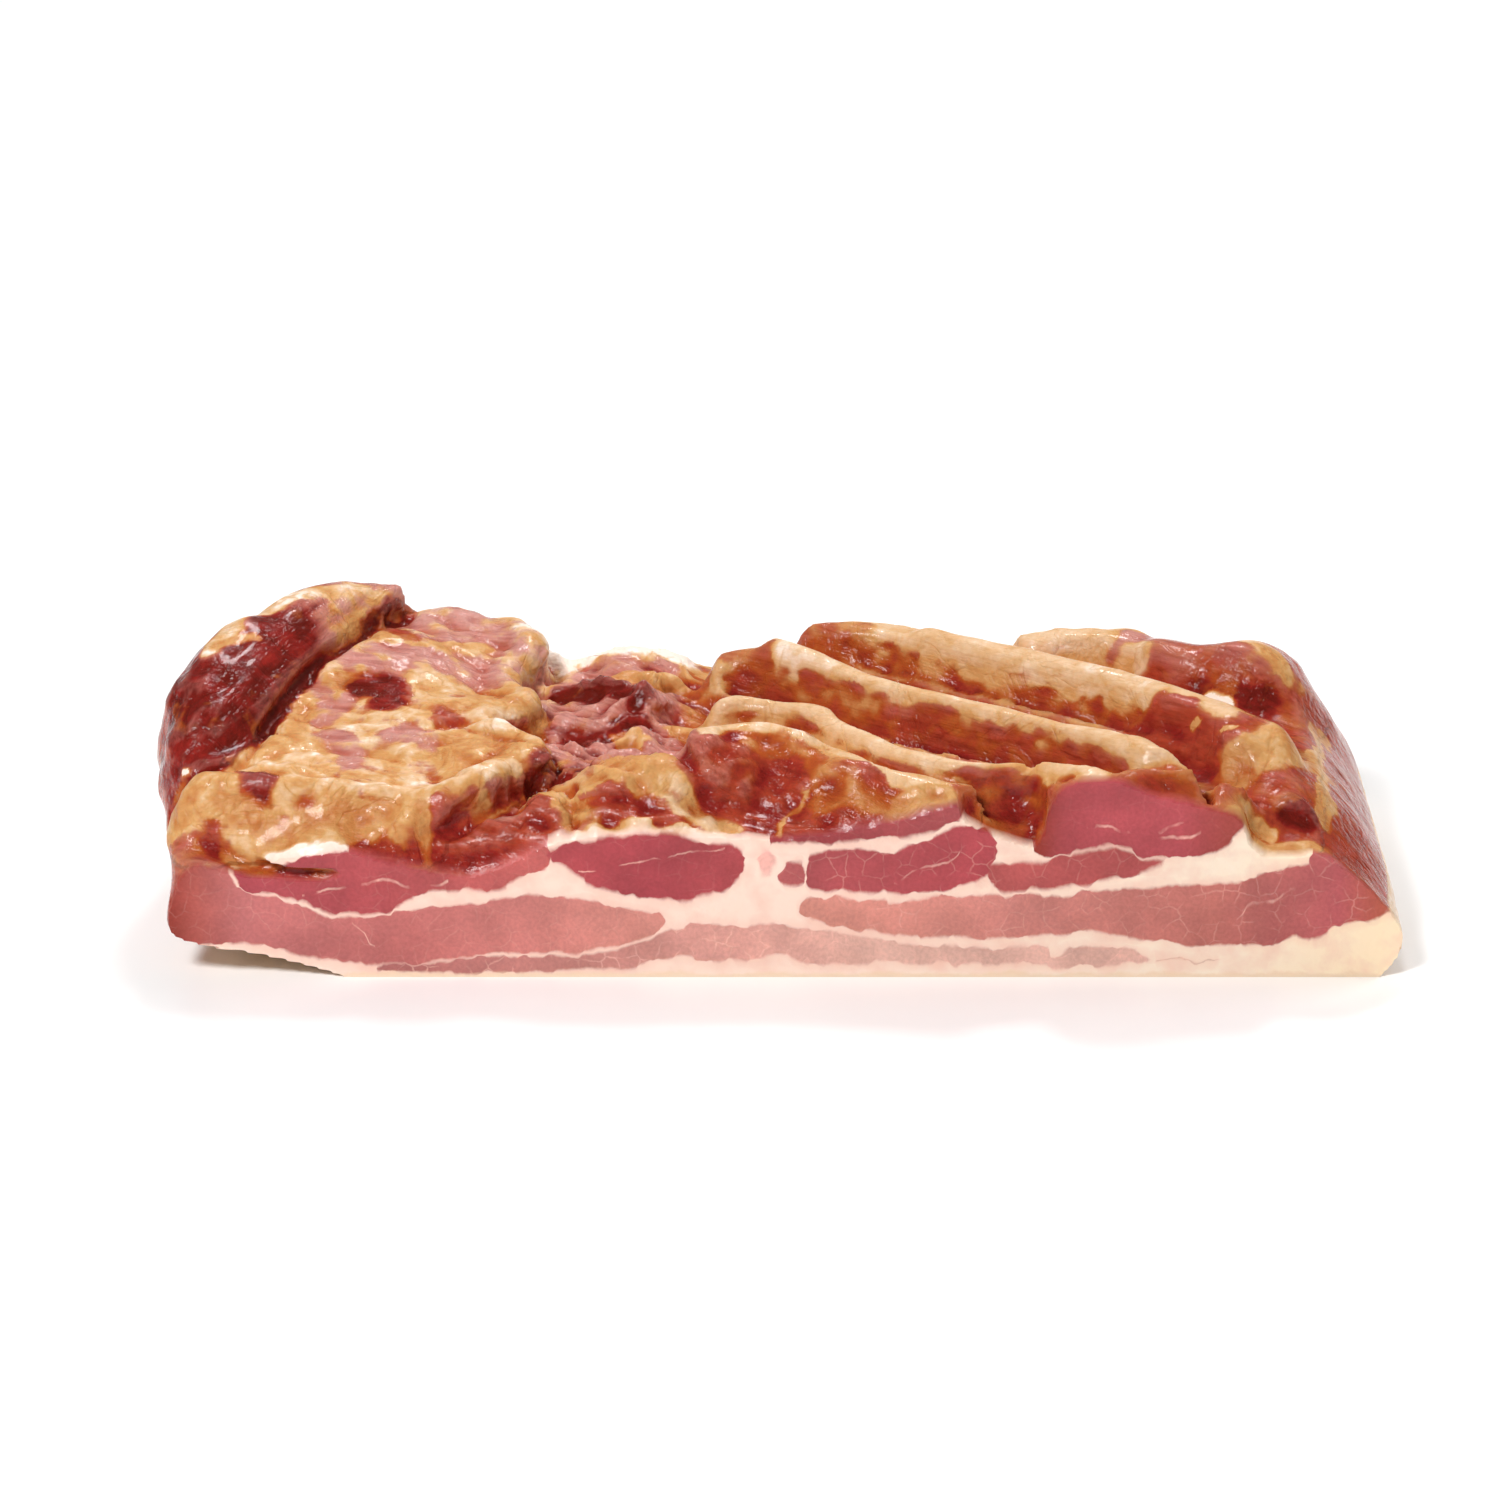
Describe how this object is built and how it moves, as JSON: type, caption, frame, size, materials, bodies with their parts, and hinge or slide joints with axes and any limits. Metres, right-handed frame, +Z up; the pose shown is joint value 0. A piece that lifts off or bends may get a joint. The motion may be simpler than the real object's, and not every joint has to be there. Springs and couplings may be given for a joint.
{
  "type": "slab of smoked bacon",
  "caption": "Slab of smoked pork belly with a knife-cut face, standing strips where the ribs were drawn, a thick sheet of fat and a folded roll of lean.",
  "frame": {"origin": "on the resting face, below the middle of the slab's outline", "axes": "+X along the cut face to the right, +Y from the cut face to the back, +Z up from the rind"},
  "size_m": [0.3091, 0.1196, 0.0644],
  "materials": {
    "smoked_meat": "cured and smoked pork, moist and half glossy, pink lean and cream fat on the cut"
  },
  "bodies": {
    "root": {"bacon_slab": "smoked_meat"}
  },
  "joints": []
}
